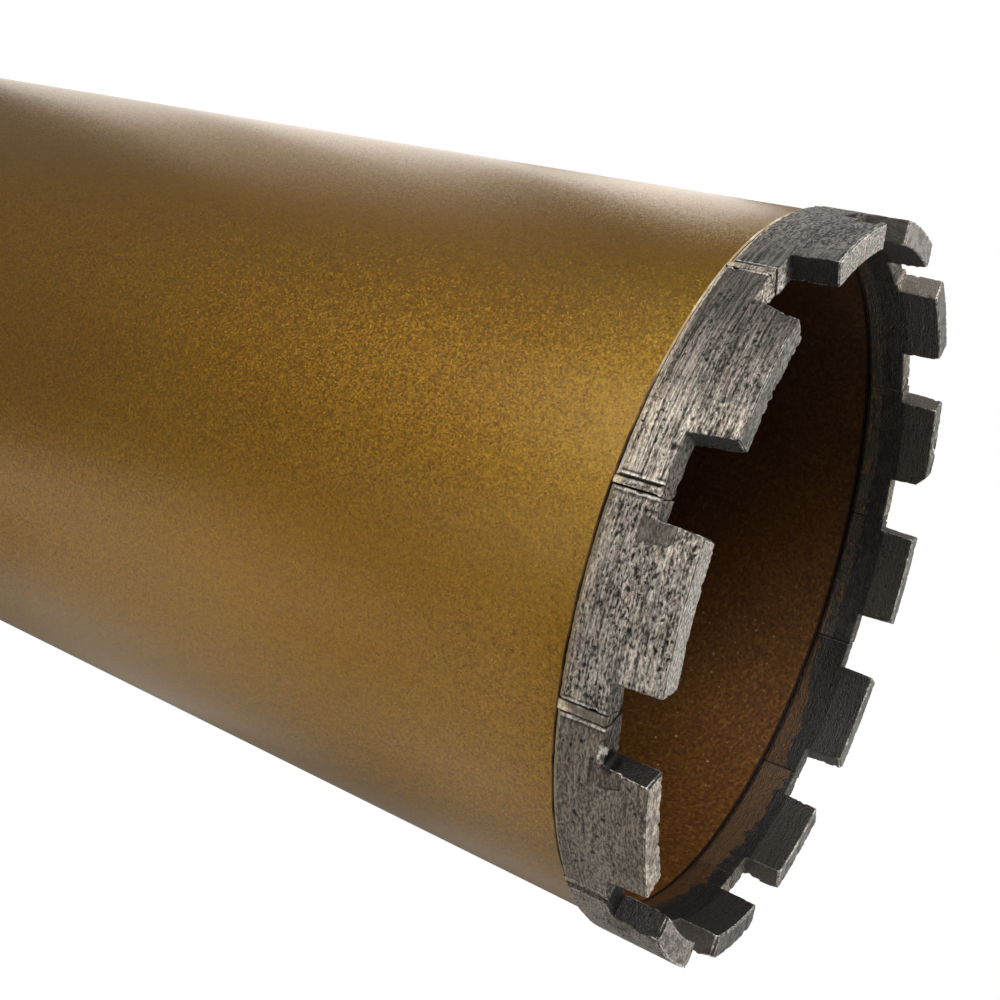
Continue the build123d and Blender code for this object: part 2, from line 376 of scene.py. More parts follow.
def sintered(name):
    """Ground and pitted sintered metal.  Reads from the sculpted mesh: its
    unrolled coordinates (arc, height along the grinding flow, radius), how
    bright the face is with its painted light and shade, how strongly it is
    scored, pores, painted shade in hollows, painted highlights on edges and paint."""
    n = Nodes(name)
    cyl = n.attr("cyl", "Vector")
    tone, cav, edge, gold = (n.attr(k) for k in ("tone", "cav", "edge", "gold"))
    ridge, line, pore_d = (n.attr(k) for k in ("ridge", "line", "pore"))
    # grinding lines run round the crown, grains lie between them
    lines = n.noise(n.mapping(cyl, (0.11, 2.6, 1.0)), 1.0, 2.0, 0.60)
    grain = n.noise(n.mapping(cyl, (1.15, 2.5, 2.3)), 1.0, 2.0, 0.60)
    fine = n.noise(n.mapping(cyl, (2.2, 4.6, 4.4)), 1.0, 2.0, 0.5)
    patch = n.noise(n.mapping(cyl, (0.16, 0.22, 0.3)), 1.0, 2.0, 0.5)
    scored = n.math("ADD", n.math("MULTIPLY", lines, 0.56), n.math("MULTIPLY", grain, 0.28))
    scored = n.math("ADD", scored, n.math("MULTIPLY", ridge, 0.16))
    loose = n.math("ADD", n.math("MULTIPLY", grain, 0.72), n.math("MULTIPLY", fine, 0.28))
    m = n.mix(line, loose, scored)
    m = n.math("ADD", m, n.math("MULTIPLY", n.math("SUBTRACT", patch, 0.5), 0.10))
    # painted glints: the peaks of the grain are brightened as if catching the light
    crest_glint = n.math("MULTIPLY", n.ramp(m, 0.545, 0.625), n.math("SUBTRACT", 1.0, n.attr("soft"), clamp=True))
    m = n.ramp(m, 0.405, 0.575)
    m = n.mix(n.attr("soft"), m, (0.62, 0.62, 0.62, 1))
    # dark and light colours follow the face's brightness, painted light and shade included
    dark = n.mix(tone, (0.009, 0.008, 0.0068, 1), (0.050, 0.044, 0.037, 1))
    light = n.mix(tone, (0.024, 0.021, 0.018, 1), (0.88, 0.79, 0.68, 1))
    base = n.mix(m, dark, light)
    base = n.mix(n.math("MULTIPLY", crest_glint, 0.9), base, (1.75, 1.75, 1.75, 1), "MULTIPLY")
    tint = n.noise(n.mapping(cyl, (0.30, 0.55, 0.5), (9.0, 3.0, 5.0)), 1.0, 2.0, 0.5)
    base = n.mix(1.0, base, n.mix(n.ramp(tint, 0.38, 0.62), (1.03, 0.98, 0.97, 1), (0.98, 1.01, 0.97, 1)), "MULTIPLY")
    base = n.mix(1.0, base, n.mix(n.attr("warm"), (0.97, 1.0, 1.06, 1), (1.03, 0.95, 0.84, 1)), "MULTIPLY")
    # ragged dark pores: painted shade in pores too fine for the mesh
    hole = n.noise(n.mapping(cyl, (1.15, 2.0, 1.9), (31.0, 7.0, 3.0)), 1.0, 2.0, 0.5)
    level = n.math("ADD", n.math("MULTIPLY", pore_d, 0.125), 0.26)
    pore = n.ramp(n.math("SUBTRACT", level, hole), -0.012, 0.018)
    base = n.mix(n.math("MULTIPLY", pore, 0.95), base, (0.006, 0.005, 0.0045, 1))
    # painted shade in pits, scores and hollows, together with dark groove lines and blotches
    base = n.mix(n.math("MULTIPLY", cav, 0.95, clamp=True), base, (0.006, 0.005, 0.0045, 1))
    # painted highlights along the edges, broken up by the grain
    rim_highlight = n.math("MULTIPLY", edge, n.ramp(grain, 0.36, 0.54, 0.25, 1.0), clamp=True)
    base = n.mix(rim_highlight, base, (0.92, 0.86, 0.77, 1))
    g = n.ramp(n.math("ADD", gold, n.math("MULTIPLY", n.math("SUBTRACT", grain, 0.5), 0.8)), 0.35, 0.65)
    gold_c = n.mix(tone, (0.088, 0.031, 0.003, 1), (0.95, 0.77, 0.47, 1))
    stain = n.noise(n.mapping(cyl, (0.55, 0.8, 0.7), (2.0, 9.0, 4.0)), 1.0, 3.0, 0.6)
    gold_c = n.mix(n.ramp(stain, 0.46, 0.60, 0.0, 0.55), gold_c, n.mix(tone, (0.030, 0.014, 0.004, 1), (0.75, 0.62, 0.42, 1)))
    gold_c = n.mix(n.ramp(fine, 0.35, 0.65, 0.0, 0.5), gold_c, (0.05, 0.03, 0.012, 1))
    base = n.mix(n.math("MULTIPLY", g, 0.85), base, gold_c)
    rough = n.ramp(m, 0.2, 0.9, 0.66, 0.46)
    h = n.math("MULTIPLY", lines, n.math("MULTIPLY", line, 1.1))
    h = n.math("ADD", h, n.math("MULTIPLY", grain, 0.9))
    h = n.math("ADD", h, n.math("MULTIPLY", fine, 0.25))
    h = n.math("SUBTRACT", h, n.math("MULTIPLY", pore, 0.5))
    h = n.math("MULTIPLY", h, n.math("SUBTRACT", 1.25, n.attr("soft")))
    return n.out(Base_Color=base, Metallic=0.45, Roughness=rough,
                 Normal=n.bump(h, 1.0, 0.00032))


# ------------------------------------------------------------------ crown
# How each segment is finished: depth of its ridges and grains, how clear the
# grinding lines are, how much they wander, pits, brightness of the outer face
# and of the tip, which is the segment's own brightness with painted light and shade.
PLAIN = dict(ridge=0.05, grain=0.08, line=0.5, flow=0.4, pits=0.5, tone=0.36, tip=0.50, cell=0.30)
STYLE = {
    1: dict(ridge=0.040, grain=0.05, line=0.45, flow=0.3, pits=0.10, tone=0.132, tip=1.00, cell=0.215),
    2: dict(ridge=0.100, grain=0.09, line=0.90, flow=0.20, pits=0.80, tone=0.41, tip=0.53, cell=0.205),
    3: dict(ridge=0.065, grain=0.10, line=0.65, flow=0.25, pits=1.10, tone=0.45, tip=1.12, cell=0.205),
    4: dict(ridge=0.040, grain=0.09, line=0.40, flow=0.6, pits=0.50, tone=0.26, tip=1.00, cell=0.205),
    5: dict(ridge=0.045, grain=0.09, line=0.45, flow=0.6, pits=0.40, tone=0.25, tip=0.62, cell=0.215),
    6: dict(PLAIN, tip=0.30),
    12: dict(PLAIN, tip=0.85),
}
# painted light and shade of the leading and trailing flanks and of the slot floors
FLANK_SHADING = {1: (0.10, 0.01), 2: (0.10, 0.03), 4: (0.01, 0.10), 5: (0.0, 0.06), 11: (0.20, 0.20)}
FLOOR_SHADING = {1: (0.24, 1.00), 2: (1.00, 0.26), 4: (0.16, 0.20), 5: (0.0, 0.10), 6: (0.16, 0.5), 10: (0.7, 0.5), 11: (0.6, 0.9)}
# how clearly the joint that follows a segment shows
JOINT = {1: 0.55, 2: 1.0, 3: 0.9, 4: 0.40}
# how far the segments' lips lean over the shrinkage grooves of that joint, on
# the side of the segment before it and of the one after it, and how far the
# fill gives way to them, in mm
LIP = {1: (0.28, 0.28), 2: (0.44, 0.36), 3: (0.15, 0.30), 4: (0.28, 0.28)}
GIVE = {1: (0.15, 0.15), 2: (0.28, 0.28), 3: (0.0, 0.0), 4: (0.12, 0.12)}


def fine_copy(src, cen, cell):
    """Fine sharp-cornered copy of a CAD node, turned so that its middle lies
    on +X, in mm, with z measured from the root."""
    me = nodes[src].data.copy()
    me.transform(Matrix.Rotation(math.radians(-cen), 4, "Z"))
    me.transform(Matrix.Scale(1000.0, 4))
    co = coords(me)
    big = float((co.max(0) - co.min(0)).max())
    tmp = link(bpy.data.objects.new("tmp", me))
    mod = tmp.modifiers.new("remesh", "REMESH")
    mod.mode = "SHARP"
    depth = 4
    while big / (0.98 * 2 ** depth) > cell:
        depth += 1
    mod.octree_depth, mod.scale = depth, big / (cell * 2 ** depth)
    mod.use_remove_disconnected = False
    fine = bpy.data.meshes.new_from_object(tmp.evaluated_get(bpy.context.evaluated_depsgraph_get()))
    bpy.data.objects.remove(tmp)
    bpy.data.meshes.remove(me)
    p = coords(fine)
    p[:, 2] -= ROOT
    return fine, p


def settle(me, p):
    me.vertices.foreach_set("co", np.ascontiguousarray(p, np.float32).ravel())
    me.update()
    return normals(me)


def place(me, p, cen, name, src, slot, mat, **attrs):
    ang = math.radians(cen)
    c, s = math.cos(ang), math.sin(ang)
    q = np.stack([p[:, 0] * c - p[:, 1] * s, p[:, 0] * s + p[:, 1] * c, p[:, 2] + ROOT], 1)
    settle(me, q * 0.001)
    me.shade_smooth()
    for k, v in attrs.items():
        put_attr(me, k, v if np.ndim(v) > 1 else np.clip(v, 0, 1))
    me.name = name
    obj = link(bpy.data.objects.new(name, me))
    me.materials.clear()
    me.materials.append(mat)
    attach(obj, "root")
    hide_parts(src)
    return obj


def sculpt_segment(num, extra=None):
    cen, width, j0, j1, dr, f0, f1, height = SEGMENTS[num]
    st = STYLE.get(num, PLAIN)
    near = num <= 5
    rng = np.random.default_rng(1000 + num)
    me, p = fine_copy("segment_%02d" % num, cen, st["cell"])
    ro, ri = SEG_RO + dr, SEG_RI + dr
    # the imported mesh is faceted: bring its curved faces back to true radius
    n = normals(me)
    r = np.hypot(p[:, 0], p[:, 1])
    rad = p[:, :2] / r[:, None]
    nr = n[:, 0] * rad[:, 0] + n[:, 1] * rad[:, 1]
    for target, want in ((ro, nr > 0.9), (ri, nr < -0.9)):
        k = want & (np.abs(r - target) < 0.12)
        p[k, :2] = rad[k] * (target - 0.002 if target == ro else target)
    e = edges_of(me)
    deg = np.bincount(e.ravel(), minlength=len(p)).astype(float)
    p0 = p.copy()
    r0 = np.hypot(p0[:, 0], p0[:, 1])
    # convex edges, found from how far the neighbours lie below each point
    lap0 = laplace(p, e, deg)
    convex = np.clip(-(lap0 * n).sum(1) / 0.05, 0, 1)
    wide = convex.copy()
    for _ in range(2):
        wide = np.clip(wide + 0.55 * laplace(wide[:, None], e, deg)[:, 0], 0, 1)
    arc = np.arctan2(p[:, 1], p[:, 0]) * ro
    t = p[:, 1].copy()                       # across the segment, parallel to its flanks
    z = p[:, 2].copy()
    # worn edges: a little everywhere, more where the noise says so
    wear = 0.08 + 0.9 * step(0.52, 0.74, fbm(arc * 0.55, z * 0.55, r * 0.6, 31 + num, 3))
    if num == 1:
        wear *= 0.5
    inside_root = step(ri + 1.6, ri + 1.0, r) * step(8.6, 8.2, z)
    wear *= 1 - inside_root
    if num in (1, 2):
        beside = step(width / 2 + 1.6, width / 2 + 2.4, t) if num == 1 else step(-width / 2 - 1.6, -width / 2 - 2.4, t)
        wear *= 1 - beside * step(5.0, 6.0, z)
    for k in range(8 if near else 6):
        p += (wear * 0.45)[:, None] * laplace(p, e, deg)
    n = settle(me, p)
    r = np.hypot(p[:, 0], p[:, 1])
    rad = p[:, :2] / r[:, None]
    nr = n[:, 0] * rad[:, 0] + n[:, 1] * rad[:, 1]
    outer = step(0.75, 0.92, nr)
    inner = step(0.75, 0.92, -nr)
    up = step(0.75, 0.92, n[:, 2])
    down = step(0.75, 0.92, -n[:, 2])
    skirt = step(0.25, 0.5, nr) * step(0.25, 0.5, -n[:, 2]) * step(1.6, 1.0, z)
    hi = step(height - 3.2, height - 2.6, z)
    tip = up * hi
    floor = up * (1 - hi)
    side = np.clip(1 - outer - inner - up - down - skirt, 0, 1)
    half = width / 2
    gone = step(0.5, 0.75, nr) * step(0.04, 0.09, ro - r0) * (z > 2.0) * (t < -half + 5.0) * (r > ro - 0.9) * step(-half - 0.5, -half + 0.3, t)
    for _ in range(3):
        gone = gone + 0.6 * laplace(gone[:, None], e, deg)[:, 0]
    for _ in range(6):
        gone = gone + 0.7 * laplace(gone[:, None], e, deg)[:, 0]
    gone = np.clip(gone * 1.1 - 0.05, 0, 1)
    ragged = step(0.25, 0.75, gone + 0.9 * (fbm(arc * 0.8, z * 1.5, 1.0, 500 + num, 3) - 0.5) - 0.35 * step(0.9, 0.3, gone))
    # ---- surface relief, all of it cut inwards
    d = np.zeros(len(p))
    seed = 71 + 13 * num
    flow = st["flow"] * 1.8 * (fbm(arc * 0.20, z * 0.30, 3.3, seed, 2) - 0.5)
    if num in (1,):
        scored = step(half - 7.0, half + 2.0, t)
    elif num == 2:
        scored = np.clip(step(8.0, 5.5, z) + step(-half + 12.0, -half + 6.0, t) + 0.35, 0, 1)
    else:
        scored = np.clip(step(7.5, 5.0, z) * 0.5 + 0.6, 0, 1)
    ra = 1 - np.abs(2 * vnoise(arc * 0.055 + 5, (z + flow) * 1.35, 0.5, seed) - 1)
    rb = 1 - np.abs(2 * vnoise(arc * 0.22, (z + flow) * 2.3, 0.5, seed + 5) - 1)
    ridge = 0.5 * ra + 0.5 * rb
    lump = fbm(arc * 0.85, (z + flow) * 1.9, r * 0.3, seed + 20, 2)
    broad = fbm(arc * 0.30, z * 0.6, r * 0.3, seed + 31, 2)
    amp = st["ridge"] * (0.35 + 0.65 * scored)
    if num == 1:
        amp = 0.025 + 0.08 * scored
    d += outer * (1 - 0.8 * gone) * (amp * 1.5 * (1 - ridge) + 0.10 * np.clip(broad - 0.40, 0, 1)
                                     + st["grain"] * (1.25 - 0.5 * scored) * np.clip(lump - 0.40, 0, 1) * 2)
    d += tip * 0.11 * np.clip(fbm(arc * 1.3, z, r * 1.3, 51 + num, 3) - 0.35, 0, 1) * 2
    d += (floor + side) * 0.10 * np.clip(fbm(arc * 1.0, z * 1.0, r * 1.6, 41 + num, 3) - 0.35, 0, 1) * 2
    d += inner * (0.05 * np.clip(fbm(arc * 0.5, z * 1.6, r, 61 + num, 3) - 0.35, 0, 1) * 2
                  + 0.035 * (1 - np.abs(2 * vnoise(arc * 0.10, z * 1.1, 0, seed + 3) - 1)))
    # painted shade in pits, scores, chips and hollows, together with dark marks: joint grooves, blotches and the inner
    # roots
    cav = np.zeros(len(p))
    # painted highlights added by the extra sculpting
    tone_add = np.zeros(len(p))

    cluster = step(0.40, 0.62, fbm(arc * 0.20, z * 0.24, 0.0, 7 + num, 2))

    def pits(count, mask, a_rng, z_rng, size, deep, dark=1.0, elong=1.5, bias=0.0):
        sel = np.nonzero(mask > 0.5)[0]
        if not len(sel):
            return
        sa, sz = arc[sel], z[sel]
        for _ in range(count):
            ca, cz = rng.uniform(*a_rng), rng.uniform(*z_rng)
            i = int(np.argmin((sa - ca) ** 2 + (sz - cz) ** 2))
            if rng.random() > (1 - bias) + bias * cluster[sel[i]]:
                continue
            s = rng.uniform(*size)
            el, an = rng.uniform(0.8, elong), rng.normal(0, 0.5)
            u, v = sa - ca, sz - cz
            u, v = u * math.cos(an) + v * math.sin(an), -u * math.sin(an) + v * math.cos(an)
            q = (u / (s * el)) ** 2 + (v / s) ** 2
            k = np.nonzero(q < 1.6)[0]
            # ragged outline
            q = q[k] * (0.45 + 1.1 * vnoise(sa[k] * 3.2, sz[k] * 3.2, 0, 3 + num))
            f = np.sqrt(np.clip(1 - q, 0, 1))
            dd = rng.uniform(*deep)
            d[sel[k]] = np.maximum(d[sel[k]], dd * f)
            # painted shade in the pit
            cav[sel[k]] = np.maximum(cav[sel[k]], dark * np.minimum(1, f * 1.2))

    pd = st["pits"]
    solid = outer * (1 - gone)
    pits(int(120 * pd), solid, (-half - 6, half + 6), (2.0, height - 0.4), (0.18, 0.30), (0.14, 0.26), 1.0, 1.9, bias=0.6)
    pits(int(34 * pd), solid, (-half - 4, half + 4), (3.0, height - 0.8), (0.28, 0.42), (0.20, 0.34), 1.0, 2.2, bias=0.5)
    pits(46, inner, (-half - 6, half + 6), (3.0, height - 0.2), (0.22, 0.5), (0.08, 0.18), 0.5)
    # pits of the cutting face lie in arc and radius, with painted shade in them
    sel = np.nonzero(tip > 0.5)[0]
    for _ in range(90 if near else 50):
        ca, cr, s = rng.uniform(-half, half), rng.uniform(ri, ro), rng.uniform(0.15, 0.34)
        q = ((arc[sel] - ca) ** 2 + (r[sel] - cr) ** 2) / s ** 2
        k = q < 1
        d[sel[k]] = np.maximum(d[sel[k]], rng.uniform(0.08, 0.17) * np.sqrt(1 - q[k]))
        cav[sel[k]] = np.maximum(cav[sel[k]], 0.35 * np.sqrt(1 - q[k]))
    # chips broken out of the convex edges
    blotchy = {1: 0.25, 2: 0.35, 3: 0.2, 4: 0.5, 5: 0.55, 6: 0.6, 7: 0.6}.get(num, 0.4)
    cav = np.maximum(cav, blotchy * tip * step(0.50, 0.64, fbm(arc * 0.55, 1.0, r * 0.9, 640 + num, 3)))
    ed = np.nonzero(wide > 0.35)[0]
    ed = ed[(z[ed] > 1.5) & (inside_root[ed] < 0.1)]
    for _ in range(22 if num == 1 else 46):
        c = p[rng.choice(ed)]
        s = rng.uniform(0.25, 0.70)
        q = ((p - c) ** 2).sum(1) / s ** 2
        k = q < 1
        d[k] = np.maximum(d[k], rng.uniform(0.08, 0.30) * (1 - q[k]) ** 0.6 * s / 0.5)
    # scores: long straight scratches along the grinding flow, with painted shade in them
    for _ in range({1: 6, 2: 34, 3: 26, 4: 12}.get(num, 14)):
        ca, cz = rng.uniform(-half, half), rng.uniform(1.5, height - 1.0)
        ln, wd, an = rng.uniform(1.5, 7.0), rng.uniform(0.13, 0.24), rng.normal(0, 0.035)
        u = (arc - ca) * math.cos(an) + (z + flow - cz) * math.sin(an)
        v = -(arc - ca) * math.sin(an) + (z + flow - cz) * math.cos(an)
        k = (np.abs(u) < ln) & (np.abs(v) < wd) & (outer > 0.5) & (gone < 0.5)
        f = (1 - (u[k] / ln) ** 2) * (1 - (v[k] / wd) ** 2)
        d[k] = np.maximum(d[k], 0.15 * f)
        cav[k] = np.maximum(cav[k], 0.55 * (1 - (u[k] / ln) ** 2))
    # ---- the joints beside the root flanks: a bright strip, then a fine line
    strip = np.zeros(len(p))
    lead = ((j0 - cen + 180.0) % 360.0) - 180.0 + 0.10
    trail = ((j1 - cen + 180.0) % 360.0) - 180.0 - 0.10
    ta, tb = SEG_RI * math.sin(math.radians(lead)), SEG_RI * math.sin(math.radians(trail))
    prev = num - 1 if num > 1 else 12
    for edge_t, power in ((ta, JOINT.get(prev, 0.5)), (tb, JOINT.get(num, 0.5))):
        dist = np.abs(t - edge_t)
        wob = 0.12 * (vnoise(z * 0.8, 0, edge_t, 21) - 0.5)
        on = outer * step(0.42 + wob, 0.22 + wob, dist) * power
        strip = np.maximum(strip, on)
        groove = outer * np.clip(1.3 * (1 - np.abs(dist - 0.48 - wob) / 0.25), 0, 1) * power
        groove *= step(0.20, 0.4, vnoise(z * 0.6, edge_t, 0, 22))
        d = np.maximum(d, 0.16 * groove)
        cav = np.maximum(cav, groove)
    cav *= 1 - 0.8 * strip
    F = dict(outer=outer, inner=inner, tip=tip, floor=floor, side=side, half=half, height=height, rng=rng,
             convex=convex, wide=wide, gone=gone, tone=tone_add, t=t, r0=r0, cool=np.zeros(len(p)))
    if extra:
        extra(p, n, arc, z, r, d, cav, F)
    d *= 1 - down
    d *= step(0.0, 0.5, z) * 0.9 + 0.1
    p -= n * d[:, None]
    # the root's outer corners lean over the shrinkage grooves beside them
    if prev in LIP:
        p[:, 1] -= LIP[prev][1] * step(SEG_RO - 1.15, SEG_RO - 0.85, r0) * step(ta + 1.1, ta + 0.1, t)
    if num in LIP:
        p[:, 1] += LIP[num][0] * step(SEG_RO - 1.15, SEG_RO - 0.85, r0) * step(tb - 1.1, tb - 0.1, t)
    if num == 1:                                 # filled flush beside the slot floor
        p[:, 1] += 0.32 * step(6.0, 7.2, z) * step(tb - 1.3, tb - 0.2, t)
    # ---- colour fields, with painted light and shade
    flank = np.where(t < 0, *FLANK_SHADING.get(num, (0.10, 0.10)))
    floor_shading = np.where(t < 0, *FLOOR_SHADING.get(num, (0.26, 0.26)))
    if num == 1:
        # painted shadow on segment 1's slot floor beside its head
        floor_shading = floor_shading * (0.08 + 0.92 * step(half + 1.0, half + 2.6, t))
    head = step(7.9, 8.7, z)
    flank = 0.15 + (flank - 0.15) * head
    # painted light and shade, face by face: bright tips and chamfer skirts, dark inner faces, flanks and floors as
    # lit; the outer faces also carry each segment's own brightness
    tone = (st["tone"] * outer + floor_shading * floor + flank * side + {5: 0.02, 6: 0.004, 7: 0.03, 8: 0.006, 10: 0.075}.get(num, 0.05) * inner + st["tip"] * tip + 0.1 * down
            + (0.85 if num <= 2 else 0.45) * skirt)
    # painted shade and light across the outer faces of segments 1 to 4
    shade = {
        # darker towards the joint that follows it
        1: lambda: 1 - 0.10 * step(8.0, 12.0, z) - 0.40 * step(half - 7.0, half, t),
        # darker over the upper part, brighter towards the trailing slot
        2: lambda: 0.16 + 0.34 * step(-half, 3.0, t) + 0.62 * step(3.0, half - 1.0, t) - 0.06 * step(6.0, 2.0, z),
        3: lambda: 0.78 + 0.28 * step(3.0, 12.0, z),
        4: lambda: 0.80 + 0.22 * step(3.0, 10.0, z),
    }.get(num, lambda: 1.0)()
    tone = tone * (outer * shade + 1 - outer)
    smooth_tone = {3: 0.15, 4: 0.17}.get(num, st["tone"] * 0.7)
    tone = tone * (1 - ragged) + ragged * smooth_tone * (0.55 + 0.9 * fbm(arc * 0.35, z * 1.9, 2.0, 520 + num, 2))
    tone = np.maximum(tone, strip * 0.95 * (0.75 + 0.5 * (vnoise(z * 1.4, t, 0, 4 + num) - 0.5)))
    tone = tone + F["tone"]
    line = np.clip(st["line"] * (0.55 + 0.45 * scored), 0, 1) * outer * (1 - 0.6 * ragged)
    if num == 1:
        line = outer * (0.25 + 0.75 * scored)
    line = np.maximum(line, 0.35 * inner)
    pore = solid * pd * (0.30 + 0.70 * cluster) * (1 - 0.8 * strip) + 0.22 * tip + 0.15 * side
    irregular = fbm(arc * 0.25, 0.0, 0.0, 5 + num, 3)
    edge_z = 0.9 + 0.9 * (vnoise(arc * 0.7, 0, 0, 9 + num) - 0.5) + 0.6 * (vnoise(arc * 0.2, 0, 0, 19) - 0.5)
    gold = outer * step(edge_z + 0.5, edge_z - 0.3, z) * (0.15 if num <= 2 else 0.45)
    gold = np.maximum(gold, skirt * (0.35 if num <= 2 else 0.6))
    gold = np.maximum(gold, strip * step(2.6, 0.9, z) * 0.9)
    here = arc + 0.0                          # arc runs on round the crown
    lo, hi_ = {5: (1.6, 2.4), 6: (2.4, 4.8), 7: (4.6, 7.4), 8: (5.6, 0.7), 9: (0.9, 0.5)}.get(num, (0.3, 0.3))
    reach = lo + (hi_ - lo) * step(-20.0, 20.0, here)
    reach = reach * (0.7 + 0.6 * irregular) + 0.9 * (vnoise(arc * 0.5, 0, 0, 19 + num) - 0.5) + 0.8 * (fbm(arc * 0.8, z * 1.1, 0, 23 + num, 3) - 0.5)
    painted = inner * step(reach + 0.45, reach - 0.45, z)
    gold = np.maximum(gold, painted * 0.95)
    # inside, the roots below the heads are darkened, in blotches
    blot = fbm(arc * 0.5, z * 0.8, 3.0, 300 + num, 3)
    darkened = inner * (step(9.9, 9.5, z) if num > 5 else step(9.1, 8.5, z)) * np.clip(step(3.0, 5.0, z) * 0.55 + 0.6 * step(0.40, 0.62, blot), 0, 0.8)
    cav = np.maximum(cav, darkened * (1 - 0.85 * painted))
    cav = np.maximum(cav, inner * step(0.66, 0.42, z))
    gold = np.maximum(gold, inner * step(4.6, 3.0, z) * step(0.52, 0.66, blot) * 0.75)
    # painted shade on the leading flank of segment 4 and the trailing flank of segment 1
    cav = np.maximum(cav, side * head * np.where(t < 0, {4: 0.50}.get(num, 0.0), {1: 0.30}.get(num, 0.0)))
    soft = 0.52 * tip + 0.5 * side + 0.45 * inner + 0.42 * ragged + 0.2 * floor + {4: 0.34, 5: 0.30}.get(num, 0.0) * outer * (1 - ragged)
    if num > 5:
        soft = soft + 0.35 * tip + 0.2 * inner + 0.35 * side
    # painted highlights on convex edges, on the chamfer skirts and along the joint strips
    rim_highlight = np.clip(convex * 1.25 - 0.15, 0, 1) * step(1.2, 2.4, z)
    if num <= 2:
        rim_highlight = np.maximum(rim_highlight, 0.8 * skirt)
    rim_highlight *= 1 - 0.95 * step(ri + 1.0, ri + 0.6, r) * step(8.9, 8.5, z)       # none inside at the roots
    rim_highlight *= np.clip(0.25 + step(height - 2.0, height - 0.5, z) + 0.5 * (outer + floor + skirt), 0, 1)
    rim_highlight *= 0.30 + 0.70 * step(0.30, 0.55, vnoise(arc * 0.7, z * 0.7, r, 77 + num))
    if num > 5:
        rim_highlight *= 0.45 + 0.35 * step(height - 1.6, height - 0.6, z)
    edge_of_patch = (gone > 0.02).astype(float)
    for _ in range(5):
        edge_of_patch = np.clip(edge_of_patch + 0.9 * laplace(edge_of_patch[:, None], e, deg)[:, 0], 0, 1)
    rim_highlight *= 1 - np.clip(3 * edge_of_patch, 0, 0.92) * (t > -half + 0.5)
    if num == 4:                                 # painted highlight round the leading flank
        rim_highlight = np.maximum(rim_highlight, step(0.25, 0.6, wide) * step(-half + 0.9, -half + 0.3, t) * step(10.0, 11.0, z))
    rim_highlight = np.maximum(rim_highlight, strip * (0.45 + 0.5 * step(0.35, 0.6, vnoise(z * 0.9, t * 2.0, 0, 14 + num))))
    return place(me, p, cen, "crown_segment_%02d" % num, "segment_%02d" % num, "segment_matrix", segment_mat,
                 cyl=np.stack([arc + np.radians(cen) * ro + 400.0, z + flow * outer, r], 1),
                 tone=tone, cav=cav, edge=rim_highlight, gold=gold, ridge=ridge, line=line, pore=pore, soft=soft,
                 warm={1: 0.0, 2: 0.45, 3: 0.4, 4: 1.0, 5: 0.7}.get(num, 0.5) + 0.5 * step(4.0, 1.0, z) + 0.3 * ragged - 0.5 * tip - F["cool"])


def ball_cut(p, d, centre, radius, depth, F=None, tone=0.0):
    """Shallow bowl knocked out around a point given as (s, t, z)."""
    q = ((p - np.array(centre)) ** 2).sum(1) / radius ** 2
    k = q < 1
    d[k] = np.maximum(d[k], depth * (1 - q[k]) ** 0.7)
    if F is not None and tone:
        F["tone"][k] += tone * (1 - q[k])


def at(ro, t, z):
    return (math.sqrt(ro * ro - t * t), t, z)


def extra_2(p, n, arc, z, r, d, cav, F):
    h, H = F["half"], F["height"]
    ball_cut(p, d, at(SEG_RO, -h + 1.3, H - 2.7), 1.1, 0.45)          # nick beside the tip
    ball_cut(p, d, at(SEG_RO, -h + 2.6, H - 1.9), 0.7, 0.25)
    # the slot floor before the head is rough
    k = F["floor"] * (F["t"] < 0)
    d += 0.12 * k * vnoise(arc * 0.9, 0, r * 0.9, 5)


def extra_3(p, n, arc, z, r, d, cav, F):
    h, H = F["half"], F["height"]
    rng = F["rng"]
    for _ in range(9):                                                  # torn patch by the leading flank, with painted shade in its nicks
        t, zz = -h + rng.uniform(0.6, 2.4), rng.uniform(13.0, 15.2)
        ball_cut(p, d, at(SEG_RO, t, zz), rng.uniform(0.3, 0.55), 0.3)
        q = ((F["t"] - t) ** 2 + (z - zz) ** 2) / 0.16
        k = (q < 1) & (F["outer"] > 0.4)
        cav[k] = np.maximum(cav[k], 0.9 * (1 - q[k]))


def extra_4(p, n, arc, z, r, d, cav, F):
    h, H = F["half"], F["height"]
    rough = 0.35 * (fbm(arc * 1.6, z * 1.6, r * 1.6, 91, 2) - 0.5)
    # a chip has left a facet on the slot corner, with a painted highlight on it, and a hollow by the head, with
    # painted shade in it
    c = np.array(at(SEG_RO, -h - 1.9, 9.0))
    cut = (p - c) @ np.array([0.66, -0.05, 0.75]) + 0.62 + rough
    k = np.linalg.norm((p - c) * np.array([1.0, 0.8, 0.75]), axis=1) < 1.5
    d[k] = np.maximum(d[k], np.clip(cut[k], 0, 0.8))
    F["tone"][k & (cut > -0.05)] += 1.0
    F["cool"][k & (cut > -0.05)] = 1.0
    c = np.array(at(SEG_RO - 1.5, -h - 0.1, 9.9))
    q = np.linalg.norm((p - c) * np.array([0.50, 0.85, 1.0]), axis=1) / 1.45 + rough * 1.2
    d[:] = np.maximum(d, 0.80 * np.clip(1 - q, 0, 1) ** 0.8)
    cav[q < 1] = np.maximum(cav[q < 1], np.minimum(1, 1.4 * (1 - q[q < 1]) ** 0.35))
    # painted highlight on the ridge left beside the hollow
    c = np.array(at(SEG_RO, -h + 0.25, 10.4))
    q = np.linalg.norm((p - c) * np.array([1.0, 2.4, 0.8]), axis=1)
    F["tone"][q < 0.8] += 0.7 * (1 - q[q < 0.8] / 0.8)


